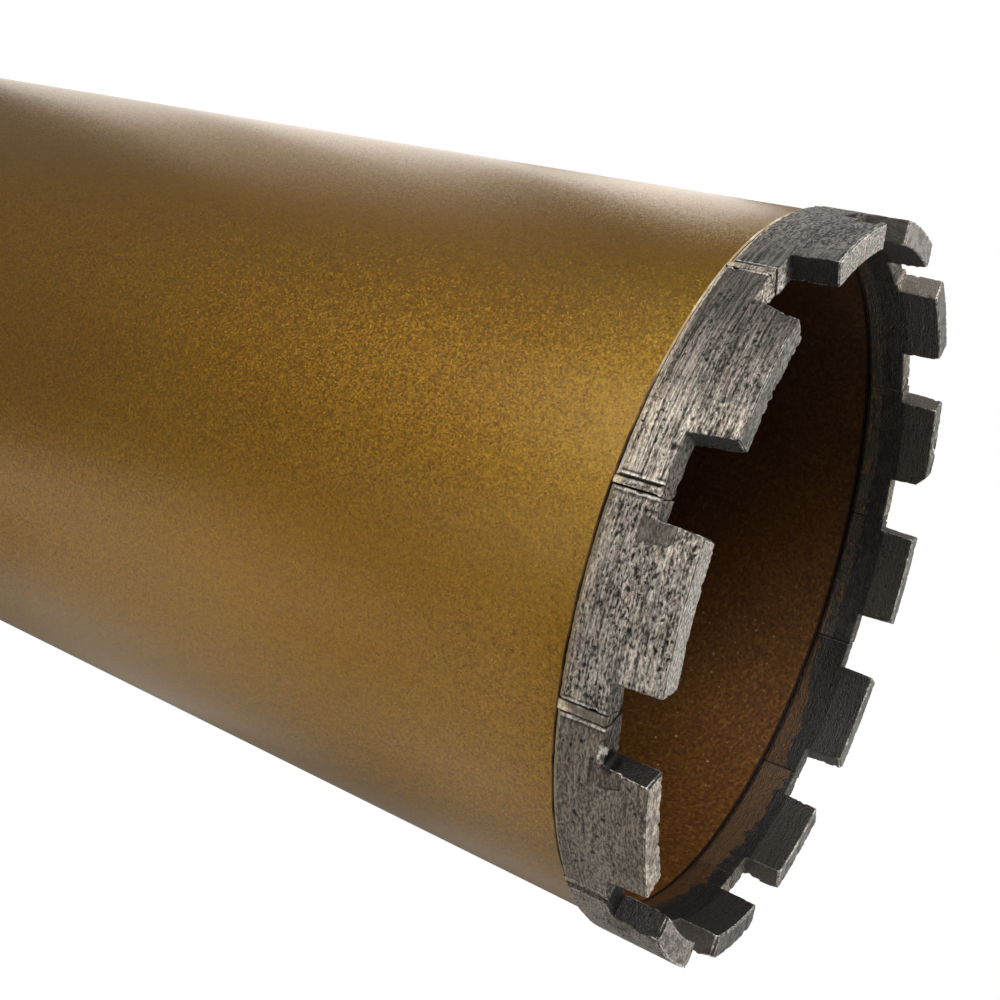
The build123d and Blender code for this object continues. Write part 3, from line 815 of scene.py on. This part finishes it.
def extra_5(p, n, arc, z, r, d, cav, F):
    h, H = F["half"], F["height"]
    ball_cut(p, d, at(SEG_RO + 0.3, -h + 0.2, H - 1.0), 1.8, 0.6)


def extra_6(p, n, arc, z, r, d, cav, F):
    h, H = F["half"], F["height"]
    ball_cut(p, d, at(SEG_RO, -h + 0.2, H - 0.8), 2.0, 0.7)
    ball_cut(p, d, at(SEG_RO, h - 0.3, H - 0.3), 1.4, 0.4)


def extra_10(p, n, arc, z, r, d, cav, F):
    h, H = F["half"], F["height"]
    # outer part of the cutting face worn down over its leading two thirds
    f = step(h * 0.5, -h * 0.2, F["t"]) * step(SEG_RI + 1.2, SEG_RO - 0.6, r)
    d += F["tip"] * f * 0.9


def extra_12(p, n, arc, z, r, d, cav, F):
    h, H = F["half"], F["height"]
    ball_cut(p, d, at(SEG_RO - 0.5, -h + 0.3, H - 0.4), 2.4, 0.9)


EXTRA = {2: extra_2, 3: extra_3, 4: extra_4, 5: extra_5, 6: extra_6, 10: extra_10, 12: extra_12}
segment_mat = sintered("sintered_metal")
for k in SEGMENTS:
    sculpt_segment(k, EXTRA.get(k))


# ------------------------------------------------------------------ joint fills
def sculpt_fill(i):
    j = i % 12 + 1
    src = "joint_fill_%02d_%02d" % (i, j)
    cen = SEGMENTS[i][3]
    me, p = fine_copy(src, cen, 0.20 if i <= 4 else 0.26)
    e = edges_of(me)
    deg = np.bincount(e.ravel(), minlength=len(p)).astype(float)
    lip = step(SEG_RO - 0.98, SEG_RO - 0.80, np.hypot(p[:, 0], p[:, 1]))
    across = p[:, 1].copy()
    firm = np.ones(len(p)) if i != 1 else step(p[:, 2].max() - 1.0, p[:, 2].max() - 2.5, p[:, 2])
    for _ in range(3):
        p += (0.35 * firm)[:, None] * laplace(p, e, deg)
    n = settle(me, p)
    r = np.hypot(p[:, 0], p[:, 1])
    nr = (n[:, 0] * p[:, 0] + n[:, 1] * p[:, 1]) / r
    arc, z = np.arctan2(p[:, 1], p[:, 0]) * SEG_RO, p[:, 2].copy()
    outer, up = step(0.6, 0.9, nr), step(0.6, 0.9, n[:, 2])
    power = JOINT.get(i, 0.5)
    d = outer * (0.10 * np.clip(fbm(arc * 1.2, z * 1.1, r, 201 + i, 3) - 0.3, 0, 1) * 2)
    d += outer * 0.03 * (0.5 + 0.5 * np.sin(z * 5.2 + 2.0 * vnoise(arc, z * 0.5, 0, 33 + i)))
    if i == 3:                                   # a bead of filler metal at the root
        q = ((arc - 0.7) / 0.60) ** 2 + ((z - 1.3) / 0.95) ** 2
        d -= outer * 0.20 * np.clip(1 - q, 0, 1) ** 0.5
        q = ((arc - 0.5) / 0.35) ** 2 + ((z - 3.0) / 0.55) ** 2
        d -= outer * 0.12 * np.clip(1 - q, 0, 1) ** 0.5
    p -= n * d[:, None]
    before, after = GIVE.get(i, (0.0, 0.0))
    top = p[:, 2].max()
    lip = lip * (1 - step(top - 0.9, top - 0.4, z))
    p[:, 1] += lip * (before * step(0.1, -0.85, across) - after * step(-0.1, 0.85, across))
    edge_z = 1.9 + 1.3 * (vnoise(arc * 1.5, z * 0.4, 0, 11 + i) - 0.5)
    gold = outer * step(edge_z + 0.9, edge_z - 0.7, z) * (0.45 + 0.55 * power)
    # painted light and shade of the fill: bright tops, a painted highlight on the paint at the root and on the bead of
    # joint 3; the outer face keeps its own brightness
    tone = (0.20 + (0.02 if i == 3 else 0.14) * power) * outer + np.where(i == 1, 0.75, 0.26) * up + 0.05
    tone = tone + outer * power * 0.60 * step(2.2, 0.5, z)
    if i == 3:
        tone = tone + outer * 0.5 * step(3.4, 2.4, z) * step(0.0, 0.4, arc)
    # painted shade on the fill's sides just below its top, in the gaps beside the segments
    cav = np.clip(1 - outer - up, 0, 1) * 0.85 * step(top - 0.1, top - 0.7, z)
    if i == 1:
        cav *= step(top - 1.0, top - 2.0, z)
    if i == 3:
        cav *= 1 - 0.7 * step(0.3, 0.8, across)
    # painted highlights along the fill's outer edges, broken up by noise
    highlight_patchiness = 0.75 * step(-0.2, 0.25, fbm(arc * 0.6, z * 0.5, 0, 61 + i, 2) - 0.5)
    rim_highlight = outer * step(0.30, 0.60, np.abs(arc)) * power * highlight_patchiness * step(0.35, 0.5, vnoise(z * 0.7, i, 0, 8))
    place(me, p, cen, "crown_" + src, src, "weld_metal", fill_mat,
          cyl=np.stack([arc + math.radians(cen) * SEG_RO + 900.0, z, r], 1),
          tone=tone, cav=cav, edge=np.maximum(rim_highlight * (z > 1.0), outer * power ** 2 * 0.55 * step(2.4, 1.0, z)), gold=gold, ridge=0.5 + 0 * z, line=0.15 + 0 * z, pore=0.35 * outer,
          soft=(0.8 if i == 3 else 0.25) * outer, warm=(1.0 if i == 3 else 0.6) + 0 * z)


fill_mat = sintered("joint_fill_metal")
for k in SEGMENTS:
    sculpt_fill(k)

# ------------------------------------------------------------------ barrel
barrel_mat = paint("bronze_paint", (0.272, 0.145, 0.004, 1), (0.231, 0.096, 0.003, 1), (0.105, 0.047, 0.003, 1),
                   0.40, 0.34, 0.72, 0.30, (0.85, 0.78, 0.66, 1))
bore_mat, edge_mat, seam_mat = paint_bore(), tube_edge_highlight(), dark_seam()
prof = [(BARREL_R, TUBE_Z0 + 2.0, 0)]
prof += [(BARREL_R, z, 0) for z in np.linspace(60, 410, 8)]
prof += [(BARREL_R, TUBE_Z1 - 0.36, 2), (BARREL_R - 0.01, TUBE_Z1 - 0.22, 2), (BARREL_R - 0.20, TUBE_Z1 - 0.01, 3),
         (BARREL_R - 0.22, TUBE_Z1, 3), (BORE_R + 0.25, TUBE_Z1, 1), (BORE_R, TUBE_Z1 - 0.25, 1)]
prof += [(BORE_R, z, 1) for z in np.linspace(412, 60, 8)]
prof += [(BORE_R, TUBE_Z0, 3), (BARREL_R - 2.0, TUBE_Z0, 3)]
barrel = lathe("painted_barrel", prof, 720)
for m in (barrel_mat, bore_mat, edge_mat, seam_mat):
    barrel.data.materials.append(m)
sharpen(barrel, 25)
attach(barrel, "root")
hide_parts("barrel_tube")

# ------------------------------------------------------------------ machine end
def radius_and_z(n, scale, stretch=0.02):
    """Coordinates in which noise forms turning marks: radius and height."""
    tc = n.add("ShaderNodeTexCoord").outputs["Object"]
    s = n.add("ShaderNodeSeparateXYZ")
    n.set(s.inputs[0], tc)
    rad = n.math("SQRT", n.math("ADD", n.math("MULTIPLY", s.outputs[0], s.outputs[0]),
                                n.math("MULTIPLY", s.outputs[1], s.outputs[1])))
    c = n.add("ShaderNodeCombineXYZ")
    n.set(c.inputs[0], n.math("MULTIPLY", rad, scale))
    n.set(c.inputs[1], n.math("MULTIPLY", s.outputs[2], scale))
    n.set(c.inputs[2], n.math("MULTIPLY", n.math("ARCTAN2", s.outputs[1], s.outputs[0]), stretch * 100.0))
    return tc, c.outputs[0]


def turned_steel():
    """Turned steel with feed marks, handling marks and a little brown film."""
    n = Nodes("turned_steel")
    tc, ring_co = radius_and_z(n, 2600.0)
    feed = n.noise(ring_co, 1.0, 2.0, 0.5)
    cloud = n.noise(tc, 70.0, 4.0)
    spots = n.noise(tc, 420.0, 3.0)
    base = n.mix(n.ramp(feed, 0.3, 0.7), (0.16, 0.15, 0.14, 1), (0.30, 0.285, 0.265, 1))
    base = n.mix(n.ramp(cloud, 0.46, 0.68, 0.0, 0.55), base, (0.115, 0.078, 0.050, 1))
    base = n.mix(n.ramp(spots, 0.60, 0.68, 0.0, 0.6), base, (0.05, 0.032, 0.022, 1))
    h = n.math("ADD", feed, n.math("MULTIPLY", spots, 0.4))
    return n.out(Base_Color=base, Metallic=0.9, Roughness=n.ramp(cloud, 0.35, 0.65, 0.30, 0.46),
                 Normal=n.bump(h, 0.35, 0.00012))


def painted_plate():
    """Plate under the same metallic paint, turning marks showing through."""
    n = Nodes("plate_paint")
    tc, ring_co = radius_and_z(n, 900.0)
    feed = n.noise(ring_co, 1.0, 2.0, 0.5)
    flake = n.voronoi(tc, 3600.0, "Color")
    tilt = n.vmath("SCALE", n.vmath("SUBTRACT", flake, (0.5, 0.5, 0.5)), scale=0.34)
    marks = n.bump(n.math("ADD", feed, n.math("MULTIPLY", n.noise(tc, 500.0, 3.0), 0.6)), 0.45, 0.00022)
    base = n.mix(n.ramp(n.vmath("LENGTH", tilt), 0.09, 0.22), (0.275, 0.160, 0.007, 1), (0.235, 0.106, 0.004, 1))
    base = n.mix(n.ramp(n.noise(tc, 90.0, 4.0), 0.45, 0.70, 0.0, 0.45), base, (0.100, 0.048, 0.006, 1))
    base = n.mix(n.ramp(n.noise(tc, 800.0, 2.0), 0.62, 0.70, 0.0, 0.5), base, (0.03, 0.018, 0.008, 1))
    return n.out(Base_Color=base, Metallic=1.0, Roughness=0.42, Normal=n.vmath("NORMALIZE", n.vmath("ADD", marks, tilt)),
                 Coat_Weight=0.6, Coat_Roughness=0.32, Coat_IOR=1.36)


def weld_skin(name, c0, c1, heat, metallic):
    """Weld metal: fine solidification lines, oxide colours and spatter pits."""
    n = Nodes(name)
    tc = n.add("ShaderNodeTexCoord").outputs["Object"]
    v = n.noise(tc, 520.0, 4.0)
    w = n.noise(tc, 75.0, 3.0)
    base = n.mix(n.ramp(v, 0.32, 0.68), c0, c1)
    base = n.mix(n.ramp(w, 0.42, 0.66, 0.0, 0.55), base, heat)
    pit = n.ramp(n.voronoi(tc, 900.0), 0.10, 0.20, 1.0, 0.0)
    base = n.mix(n.math("MULTIPLY", pit, 0.6), base, (0.02, 0.015, 0.01, 1))
    return n.out(Base_Color=base, Metallic=metallic, Roughness=n.ramp(v, 0.3, 0.7, 0.36, 0.52),
                 Normal=n.bump(n.math("SUBTRACT", v, n.math("MULTIPLY", pit, 0.5)), 0.5, 0.00016))


def rings(name, angles, rows, closed=True):
    """Mesh from rows of (x, y, z) points, one per angle, in mm."""
    k, m = len(angles), len(rows)
    faces = []
    for a_ in range(m if closed else m - 1):
        b_ = (a_ + 1) % m
        for i in range(k):
            j = (i + 1) % k
            faces.append((a_ * k + i, a_ * k + j, b_ * k + j, b_ * k + i))
    return mesh_object(name, np.concatenate(rows), faces)


def declare(obj, src, mat, degrees=28):
    obj.data.materials.append(mat)
    sharpen(obj, degrees)
    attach(obj, "root")
    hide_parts(src)
    return obj


def make_hub_mesh():
    """Threaded hub: spanner flats outside, helical 1 1/4 in - 7 UNC thread inside."""
    corner = math.asin(23.0 / 26.0)
    ang = np.unique(np.concatenate([np.arange(192) * (2 * math.pi / 192),
                                    [corner, math.pi - corner, math.pi + corner, 2 * math.pi - corner]]))
    ca, sa = np.cos(ang), np.sin(ang)

    def row(r, z, flat=False):
        x, y = r * ca, r * sa
        if flat:
            # between the corners the flat's columns are spread evenly over it
            y = np.clip(y, -23.0, 23.0)
            cut = np.abs(r * sa) > 23.0 + 1e-6
            x = np.where(cut, 23.0 * ca / np.maximum(np.abs(sa), 1e-6), x)
        return np.stack([x, y, np.full_like(ang, 1.0) * z], 1)

    rows = [row(14.0 + 1.875 + 0.25, 0.0), row(20.0, 0.0), row(24.6, 0.0), row(24.95, 0.10), row(25.9, 1.05), row(26.0, 1.4),
            row(26.0, 5.0), row(26.0, 9.9), row(26.0, 10.0), row(26.0, 10.12, True), row(26.0, 15.0, True),
            row(26.0, 21.0, True), row(26.0, 27.0, True), row(26.0, 31.88, True), row(26.0, 32.0), row(26.0, 36.0),
            row(26.0, 41.9), row(25.9, 42.0), row(19.1, 42.0), row(19.0, 42.1), row(19.0, 52.8), row(18.8, 53.0),
            row(12.0, 53.0), row(8.6, 53.0), row(8.0, 52.4), row(8.0, 47.0), row(8.0, 41.5), row(9.0, 40.88), row(13.9, 38.06)]
    pitch = 25.4 / 7.0
    for z in np.arange(37.8, 0.05, -pitch / 12.0):
        t = np.mod(z / pitch - ang / (2 * math.pi), 1.0)
        cut = np.clip((0.5 - np.abs(t - 0.5) - 0.125) / 0.3125, 0, 1) * step(37.8, 36.0, z)
        r = 14.0 + 1.875 * cut
        r = np.maximum(r, 15.875 + 0.05 - z)
        rows.append(row(1.0, z) * np.stack([r, r, np.ones_like(r)], 1))
    rows.append(row(15.95, 0.03))
    return rings("threaded_hub_turned", ang, rows)


declare(make_hub_mesh(), "threaded_hub", turned_steel(), 30)

prof = [(19.0, 42.0), (30.0, 42.0), (42.0, 42.0), (54.0, 42.0), (66.0, 42.0), (73.7, 42.0), (74.1, 42.1), (74.9, 42.9),
        (75.0, 43.3), (75.0, 44.6), (75.0, 46.0), (73.0, 48.0), (72.4, 48.0), (72.4, 52.1), (71.7, 52.9), (71.4, 53.0),
        (60.0, 53.0), (46.0, 53.0), (32.0, 53.0), (19.0, 53.0)]
plate = lathe("end_plate_turned", [(r, z, 0) for r, z in prof], 480)
declare(plate, "end_plate", painted_plate())


def bead_mesh(name, count, per, row_points, seed):
    """Ring of weld ripples.  row_points(u, ripple, wander) gives r and z."""
    ang = np.arange(count * per) * (2 * math.pi / (count * per))
    rows = []
    for u in np.linspace(0.0, 1.0, 11):
        # each ripple is a crescent whose middle runs ahead of its ends
        phase = ang / (2 * math.pi) * count + 0.9 * (2 * u - 1) ** 2 \
            + 0.35 * (vnoise(np.cos(ang) * 9, np.sin(ang) * 9, 0, seed) - 0.5)
        f = phase - np.floor(phase)
        ripple = np.sin(np.clip(f, 0, 1) * math.pi) ** 0.6
        wander = vnoise(np.cos(ang) * 14, np.sin(ang) * 14, u * 2, seed + 3) - 0.5
        r, z = row_points(u, ripple, wander)
        rows.append(np.stack([r * np.cos(ang), r * np.sin(ang), z], 1))
    return ang, rows


def cap_points(u, ripple, wander):
    bulge = math.sin(math.pi * u) ** 0.75
    r = 74.86 + (0.66 * (0.66 + 0.34 * ripple) + 0.05 * wander) * bulge
    z = 46.05 + 3.9 * u + 0.25 * wander * (1 - bulge) * (1 if u > 0.5 else -1)
    return np.minimum(r, 75.54), z + 0 * r


ang_, rows_ = bead_mesh("b", 214, 6, cap_points, 401)
k = len(ang_)
back = [np.stack([r * np.cos(ang_), r * np.sin(ang_), np.full(k, z)], 1) for r, z in ((74.6, 49.6), (73.0, 48.0), (74.6, 46.4))]
bead_mat = weld_skin("painted_weld", (0.150, 0.078, 0.006, 1), (0.290, 0.160, 0.010, 1), (0.10, 0.05, 0.010, 1), 0.9)
declare(rings("barrel_weld_ripples", ang_, rows_ + back), "barrel_weld_bead", bead_mat, 50)


def fillet_points(u, ripple, wander):
    # from the plate (u 0) round to the hub (u 1), slightly convex
    r, z = 30.9 - 4.9 * u, 42.0 - 4.9 * u
    lift = math.sin(math.pi * u) * (0.22 + 0.34 * ripple + 0.12 * wander)
    return r + lift * 0.707 + 0.12 * wander * (1 - math.sin(math.pi * u)), z - lift * 0.707 + 0 * ripple


ang_, rows_ = bead_mesh("f", 74, 8, fillet_points, 431)
k = len(ang_)
back = [np.stack([r * np.cos(ang_), r * np.sin(ang_), np.full(k, z)], 1) for r, z in ((25.98, 38.0), (25.98, 41.98), (29.5, 41.98))]
rows_[0][:, 2] = 41.99
declare(rings("hub_weld_ripples", ang_, rows_ + back), "hub_weld_bead", bead_mat, 50)


def seam_jitter(k, ang):
    w = vnoise(np.cos(ang) * 60, np.sin(ang) * 60, k * 0.7, 451) - 0.5
    return 0.10 * w, 0.0 * w


seam = lathe("root_seam_ring", [(72.88, 419.66, 0), (74.62, 419.66, 0), (74.60, 419.82, 0), (74.62, 419.99, 0),
                                (72.88, 419.99, 0), (72.90, 419.82, 0)], 720, jitter=seam_jitter)
declare(seam, "root_weld_seam", seam_mat, 40)

# ------------------------------------------------------------------ camera
cam_data = bpy.data.cameras.new("camera")
cam = link(bpy.data.objects.new("camera", cam_data))
right = Vector((-0.28182444, 0.41967242, 0.86281519))
up = Vector((-0.95935275, -0.13707143, -0.24668545))
back = Vector((0.01474022, -0.89726612, 0.44124397))
m = Matrix((right, up, back)).transposed().to_4x4()
m.translation = Vector((-0.011781, -0.232373, 0.497001))
cam.matrix_world = m
cam_data.sensor_width = 36.0
cam_data.sensor_fit = "HORIZONTAL"
cam_data.lens = 41.2810
cam_data.shift_x = -0.117651
cam_data.shift_y = -0.045000
cam_data.clip_start = 0.01
cam_data.clip_end = 200.0
scene.camera = cam
scene.view_settings.view_transform = "Standard"
scene.view_settings.look = "None"

# ------------------------------------------------------------------ floor and light
me = bpy.data.meshes.new("floor")
me.from_pydata([(-30, -30, 0), (30, -30, 0), (30, 30, 0), (-30, 30, 0)], [], [(0, 1, 2, 3)])
floor = link(bpy.data.objects.new("floor", me))
fm = bpy.data.materials.new("floor")
fm.use_nodes = True
t = fm.node_tree
t.nodes.remove(t.nodes["Principled BSDF"])
mixer = t.nodes.new("ShaderNodeMixShader")
lp = t.nodes.new("ShaderNodeLightPath")
dif = t.nodes.new("ShaderNodeBsdfDiffuse")
dif.inputs["Color"].default_value = (0.30, 0.295, 0.285, 1)
emi = t.nodes.new("ShaderNodeEmission")
emi.inputs["Color"].default_value = (1, 1, 1, 1)
emi.inputs["Strength"].default_value = 1.0
t.links.new(lp.outputs["Is Camera Ray"], mixer.inputs[0])
t.links.new(dif.outputs[0], mixer.inputs[1])
t.links.new(emi.outputs[0], mixer.inputs[2])
t.links.new(mixer.outputs[0], t.nodes["Material Output"].inputs["Surface"])
me.materials.append(fm)

world = bpy.data.worlds.new("world")
scene.world = world
world.use_nodes = True
wt = world.node_tree
bg = wt.nodes["Background"]
bg.inputs["Color"].default_value = (1, 1, 1, 1)
bg.inputs["Strength"].default_value = 0.463
bg2 = wt.nodes.new("ShaderNodeBackground")
bg2.inputs["Color"].default_value = (1, 1, 1, 1)
bg2.inputs["Strength"].default_value = 1.0
wm = wt.nodes.new("ShaderNodeMixShader")
wl = wt.nodes.new("ShaderNodeLightPath")
wt.links.new(wl.outputs["Is Camera Ray"], wm.inputs[0])
wt.links.new(bg.outputs[0], wm.inputs[1])
wt.links.new(bg2.outputs[0], wm.inputs[2])
wt.links.new(wm.outputs[0], wt.nodes["World Output"].inputs["Surface"])


def area(name, at, look, size, radiance, colour=(1, 1, 1)):
    """Softbox of size (w, h) metres at a point, facing another."""
    d = bpy.data.lights.new(name, "AREA")
    d.shape = "RECTANGLE"
    d.size, d.size_y = size
    d.energy = radiance * math.pi * size[0] * size[1]
    d.color = colour
    o = link(bpy.data.objects.new(name, d))
    o.location = at
    o.rotation_mode = "QUATERNION"
    o.rotation_quaternion = (Vector(look) - Vector(at)).to_track_quat("-Z", "Y")
    o.visible_camera = False
    return o


AIM = (0, 0, 0.33)


def ring(az, dist, z):
    a = math.radians(az)
    return (dist * math.cos(a), dist * math.sin(a), z)


# soft panels round the bit: azimuth and radiance
for az, power in ((-150, 11.3), (-120, 1.39), (30, 3.18), (150, 1.42)):
    area("high_%d" % az, ring(az, 0.85, 0.75), AIM, (0.42, 0.42), power)
for az, power in ((-150, 0.76), (-120, 3.0), (-90, 1.25), (-30, 0.55), (0, 0.70), (30, 0.34), (150, 0.51)):
    area("low_%d" % az, ring(az, 0.75, 0.12), (0, 0, 0.12), (0.36, 0.36), power)
# pale boards on the floor
for az, power in ((-45, 1.07), (-15, 0.61), (15, 0.31), (135, 1.66), (165, 0.56)):
    p = ring(az, 0.42, 0.003)
    area("board_%d" % az, p, (p[0], p[1], 1.0), (0.28, 0.28), power)
area("near_board", (-0.150, 0.140, 0.003), (-0.150, 0.140, 1.0), (0.19, 0.19), 1.35)
for az, power in ((-75, 0.85), (-45, 1.06), (-15, 0.81), (135, 1.92)):
    p = ring(az, 0.85, 0.003)
    area("far_board_%d" % az, p, (p[0], p[1], 1.0), (0.45, 0.45), power)
